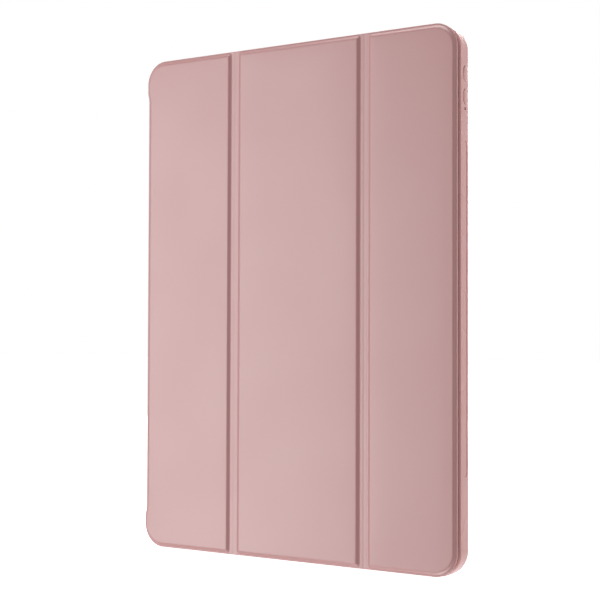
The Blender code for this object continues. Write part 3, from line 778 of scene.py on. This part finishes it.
def roundOutline(box, radius, inset, cornerSteps, sideSteps):
    # points round a box with round corners, moved in by an inset: each corner is an arc about its own centre,
    # and each side gets points close to its ends, so that the arcs' shading stays off the flats
    x0, x1, z0, z1 = box
    inset = np.asarray(inset, float)[..., None]
    r = np.maximum(radius - inset, 0.05 * mm)
    stretch = np.concatenate([[0.0, 0.02], np.linspace(0.1, 0.9, sideSteps), [0.98]])
    pieces = []
    left, right, low, high = x0 + radius, x1 - radius, z0 + radius, z1 - radius
    centres = ((right, high), (left, high), (left, low), (right, low))
    for quarterTurn, (cx, cz) in enumerate(centres):
        a = math.pi / 2 * (quarterTurn + np.linspace(0.0, 1.0, cornerSteps + 1)[:-1])
        pieces.append((cx + r * np.cos(a), cz + r * np.sin(a)))
        nextX, nextZ = centres[(quarterTurn + 1) % 4]
        end = math.pi / 2 * (quarterTurn + 1)
        sideX = cx + (nextX - cx) * stretch + r * math.cos(end)
        sideZ = cz + (nextZ - cz) * stretch + r * math.sin(end)
        pieces.append((sideX, sideZ))
    return np.concatenate([p[0] for p in pieces], -1), np.concatenate([p[1] for p in pieces], -1)


def arc(centreInset, centreDepth, radius, start, end, steps):
    # section points (inset, depth) on an arc; 0 degrees points to the front and 90 outwards
    a = np.radians(np.linspace(start, end, steps + 1))
    return np.stack([centreInset - radius * np.sin(a), centreDepth - radius * np.cos(a)], -1)


def bumperSection(t, depth):
    # down the inside of the lip, round the front edge, along the wall, round the back edge and in to the
    # plate's ledge; a point close to each end of the flat wall keeps the rounding's shading off it
    small, flange, hold = t["lipRadius"], t["flangeRadius"], t["hold"]
    ledge = depth - t["ledgeDepth"]
    return np.concatenate([
        [(t["lipReach"], t["lip"])],
        arc(t["lipReach"] - small, small, small, -90, 0, 10),
        arc(t["frontRadius"], t["frontRadius"], t["frontRadius"], 0, 90, 10),
        [(0.0, t["frontRadius"] + hold), (0.0, depth - t["backRadius"] - hold)],
        arc(t["backRadius"], depth - t["backRadius"], t["backRadius"], 90, 180, 14),
        arc(t["flange"] - flange, depth - flange, flange, 180, 270, 3),
        [(t["flange"], ledge), (t["ledge"], ledge), (t["ledge"], depth - t["plate"])],
        [(t["wall"], depth - t["plate"]), (t["wall"], t["lip"])],
    ])


def pill(across, along, grow, steps=12):
    # a slot's outline: a box with nearly half-round ends, grown by some distances, with a ring for each
    radius = min(across, along) * 0.49
    grow = np.asarray(grow, float)
    a = np.radians(np.linspace(0.0, 90.0, steps + 1))
    r = (radius + grow)[:, None]
    cx, cz = across / 2 - radius, along / 2 - radius
    quarterX, quarterZ = r * np.cos(a), r * np.sin(a)
    backX, backZ = quarterX[:, ::-1], quarterZ[:, ::-1]
    ringX = np.concatenate([cx + quarterX, -cx - backX, -cx - quarterX, cx + backX], 1)
    ringZ = np.concatenate([cz + quarterZ, cz + backZ, -cz - quarterZ, -cz - backZ], 1)
    return ringX, ringZ


def placed(first, second, out, axis, sign, at):
    # rings given as two coordinates in the face and one out of it, put on the side (x) or an end (z)
    out = np.broadcast_to(sign * out[:, None], first.shape)
    if axis == "x":
        return np.stack([at[0] + out, at[1] + first, at[2] + second], -1)
    return np.stack([at[0] + second, at[1] + first, at[2] + out], -1)


def slotCutter(name, across, along, axis, sign, at, depth, radius=tray["mouth"]):
    # a cutter whose mouth flares by a quarter circle, so that the opening gets a rounded edge
    below = radius * np.cos(np.radians(np.linspace(0.0, 90.0, 7)))
    grow = radius - np.sqrt(np.maximum(radius**2 - (radius - below) ** 2, 0.0))
    out = np.concatenate([[-depth], -below, [0.5 * mm]])
    grow = np.concatenate([[0.0], grow, [radius + 0.35 * mm]])
    first, second = pill(across, along, grow)
    return capped(name, placed(first, second, out, axis, sign, at), "soft_tray")


def keepShape(piece):
    # the mesh with its modifiers worked in becomes the piece's own
    bpy.context.view_layer.update()
    graph = bpy.context.evaluated_depsgraph_get()
    shaped = piece.evaluated_get(graph)
    mesh = bpy.data.meshes.new_from_object(shaped, preserve_all_data_layers=True, depsgraph=graph)
    piece.modifiers.clear()
    piece.data = mesh
    mesh.name = piece.name


def carve(piece, cutters, sharp=35.0):
    # subtracts the cutters, keeps the result as the piece's own mesh and removes them; normals are weighted
    # by area, so that the cuts leave no streaks on the flat walls
    for cutter in cutters:
        boolean = piece.modifiers.new(cutter.name, "BOOLEAN")
        boolean.operation, boolean.solver, boolean.object = "DIFFERENCE", "EXACT", cutter
    keepShape(piece)
    piece.data.shade_smooth()
    piece.data.set_sharp_from_angle(angle=math.radians(sharp))
    weights = piece.modifiers.new("weights", "WEIGHTED_NORMAL")
    weights.keep_sharp = True
    keepShape(piece)
    for cutter in cutters:
        bpy.data.objects.remove(cutter, do_unlink=True)


slots = {
    "window": 0.07 * mm,        # clearance round a button cover
    "windowMouth": 0.07 * mm,
    "holeRadius": 0.6 * mm, "holeFromTop": 38.8 * mm,
    "stylusTop": 53.7 * mm, "stylusBottom": 206.0 * mm,
    "stylusWidth": 4.0 * mm, "stylusDepth": 0.32 * mm,
    "portLength": 15.0 * mm, "portWidth": 4.6 * mm,
    "speakerLength": 30.0 * mm, "speakerWidth": 3.6 * mm,
    "speakerFromMiddle": 48.0 * mm, "speakerShift": 10.4 * mm,
}


def makeBumper(t, s):
    depth = trayBack - trayFront
    section = bumperSection(t, depth)
    x, z = roundOutline(trayBox, t["corner"], section[:, 0], 28, 7)
    rings = np.stack([x, np.broadcast_to((trayFront + section[:, 1])[:, None], x.shape), z], -1)
    piece = lofted("bumper", rings, "soft_tray")
    middleX, through = (trayX0 + trayX1) / 2, t["wall"] + 0.5 * mm
    cutters = []
    for node in ("volume_up_button", "volume_down_button", "power_button"):
        x0, x1, y0, y1, z0, z1 = span(node)
        across = y1 - y0 + 2 * s["window"]
        if node == "power_button":
            at, along, axis = ((x0 + x1) / 2, bayMiddle, trayHigh), x1 - x0, "z"
        else:
            at, along, axis = (trayX1, bayMiddle, (z0 + z1) / 2), z1 - z0, "x"
        long = along + 2 * s["window"]
        cutters.append(slotCutter(node + "Cut", across, long, axis, 1, at, through, s["windowMouth"]))
    hole = 2 * s["holeRadius"]
    at = (trayX1, bayMiddle, trayHigh - s["holeFromTop"])
    cutters.append(slotCutter("holeCut", hole, hole, "x", 1, at, through))
    stylusMiddle = trayHigh - (s["stylusTop"] + s["stylusBottom"]) / 2
    stylusLength = s["stylusBottom"] - s["stylusTop"]
    at = (trayX1, bayMiddle, stylusMiddle)
    cutters.append(slotCutter("stylusCut", s["stylusWidth"], stylusLength, "x", 1, at, s["stylusDepth"]))
    at = (middleX, bayMiddle, trayLow)
    cutters.append(slotCutter("portCut", s["portWidth"], s["portLength"], "z", -1, at, through))
    for end, sign, shift in ((trayLow, -1, 0.0), (trayHigh, 1, s["speakerShift"])):
        for side in (-1, 1):
            at = (middleX + side * s["speakerFromMiddle"] - (side > 0) * shift, bayMiddle, end)
            speaker = slotCutter("speakerCut", s["speakerWidth"], s["speakerLength"], "z", sign, at, through)
            cutters.append(speaker)
    carve(piece, cutters, 13.0)
    replaceNode(piece, "bumper_frame", "tray")


button = {
    "draw": 0.95 * mm,          # how far the outline draws in over the dome
    "flat": 1.35 * mm,          # inset of the face's flat middle
    "sink": 0.42 * mm,          # the dome starts this far under the face
    "dome": 0.38 * mm,
}


def makeButton(node, body, axis, s):
    # a pill with a domed face: the outline draws in along a quarter ellipse as it rises
    x0, x1, y0, y1, z0, z1 = span(node)
    proud = (x1 - trayX1) if axis == "x" else (z1 - trayHigh)
    foot = (x1 - x0) if axis == "x" else (z1 - z0)
    t = np.linspace(0.0, 1.0, 9)
    inset = np.concatenate([[0.0], s["draw"] * (1.0 - (1.0 - t**2) ** 0.5), [s["flat"]]])
    out = np.concatenate([[proud - foot], proud - s["sink"] + s["dome"] * np.sin(t * math.pi / 2), [proud]])
    along = (z1 - z0) if axis == "x" else (x1 - x0)
    first, second = pill(y1 - y0, along, -inset)
    at = (trayX1, bayMiddle, (z0 + z1) / 2) if axis == "x" else ((x0 + x1) / 2, bayMiddle, trayHigh)
    piece = capped(node.replace("button", "cover"), placed(first, second, out, axis, 1, at), "soft_tray")
    replaceNode(piece, node, body)


ring = {
    "corner": 9.6 * mm,
    "width": 1.6 * mm,
    "crest": 0.5 * mm,
}
plate = {
    "gap": 0.12 * mm,           # to the soft tray round it, and to the ring
    "bond": 0.05 * mm,
    "soft": 0.15 * mm,          # rounding of its back edge
    "past": 1.0 * mm,           # the window's cutter stands out this far
}


def makePlate(t, s):
    # the stiff plate: its section steps out to the flange behind the ledge; the camera window is cut after
    gap, bond, soft = s["gap"], s["bond"], s["soft"]
    ledge = trayBack - t["ledgeDepth"]
    inner, outer = t["ledge"] + gap, t["flange"] + gap
    stations = np.array([
        (inner, bayFloor), (inner, ledge + bond), (outer, ledge + bond), (outer, trayBack - soft),
        (outer + soft * 0.3, trayBack - soft * 0.3), (outer + soft, trayBack), (outer + 3 * mm, trayBack),
    ])
    x, z = roundOutline(trayBox, t["corner"], stations[:, 0], 28, 7)
    rings = np.stack([x, np.broadcast_to(stations[:, 1][:, None], x.shape), z], -1)
    piece = plateSolid("plate", rings)
    x0, x1, _, _, z0, z1 = span("camera_ring")
    x, z = roundOutline((x0, x1, z0, z1), ring["corner"], [-gap, -gap], 18, 5)
    y = np.array([bayFloor - s["past"], trayBack + s["past"]])[:, None]
    cutter = plateSolid("cameraCut", np.stack([x, np.broadcast_to(y, x.shape), z], -1))
    carve(piece, [cutter])
    replaceNode(piece, "back_plate", "tray")


def plateSolid(name, rings):
    # rings joined in order, with the two ends closed by one flat face each
    count, size = rings.shape[:2]
    ids = np.arange(count * size).reshape(count, size)
    nextPoint = np.roll(ids, -1, 1)
    walls = np.stack([ids[:-1], nextPoint[:-1], nextPoint[1:], ids[1:]], -1).reshape(-1, 4).tolist()
    mesh = bpy.data.meshes.new(name)
    mesh.from_pydata(rings.reshape(-1, 3).tolist(), [], walls + [ids[0][::-1].tolist(), ids[-1].tolist()])
    solid = bmesh.new()
    solid.from_mesh(mesh)
    bmesh.ops.recalc_face_normals(solid, faces=solid.faces)
    solid.to_mesh(mesh)
    solid.free()
    mesh.shade_smooth()
    mesh.set_sharp_from_angle(angle=math.radians(35.0))
    mesh.materials.append(finishes["stiff_plate"])
    piece = bpy.data.objects.new(name, mesh)
    bpy.context.scene.collection.objects.link(piece)
    return piece


def makeCameraRing(s):
    # a rounded rib carried round the window: a flat foot in the plate and a half-round crest
    x0, x1, y0, y1, z0, z1 = span("camera_ring")
    width = s["width"]
    crest = np.radians(np.linspace(0.0, 180.0, 13))
    inset = np.concatenate([[0.0], width / 2 * (1.0 - np.cos(crest)), [width]])
    rise = np.concatenate([[y0], y1 - s["crest"] + s["crest"] * np.sin(crest) ** 0.8, [y0]])
    x, z = roundOutline((x0, x1, z0, z1), s["corner"], inset, 18, 5)
    rings = np.stack([x, np.broadcast_to(rise[:, None], x.shape), z], -1)
    piece = lofted("window_ring", rings, "soft_tray")
    replaceNode(piece, "camera_ring", "tray")


makeBumper(tray, slots)
makeButton("volume_up_button", "volume_up", "x", button)
makeButton("volume_down_button", "volume_down", "x", button)
makeButton("power_button", "power", "z", button)
makePlate(tray, plate)
makeCameraRing(ring)
print("tray, buttons, plate and window ring made")


# pieces that keep their frame mesh and take a finish of their own
def dressNodes():
    for row in frame["record"]["subparts"]:
        node = frame["nodes"][row["node"]]
        if not node.hide_render:
            node.data.materials.clear()
            node.data.materials.append(finishes[row["material_slot"]])


dressNodes()
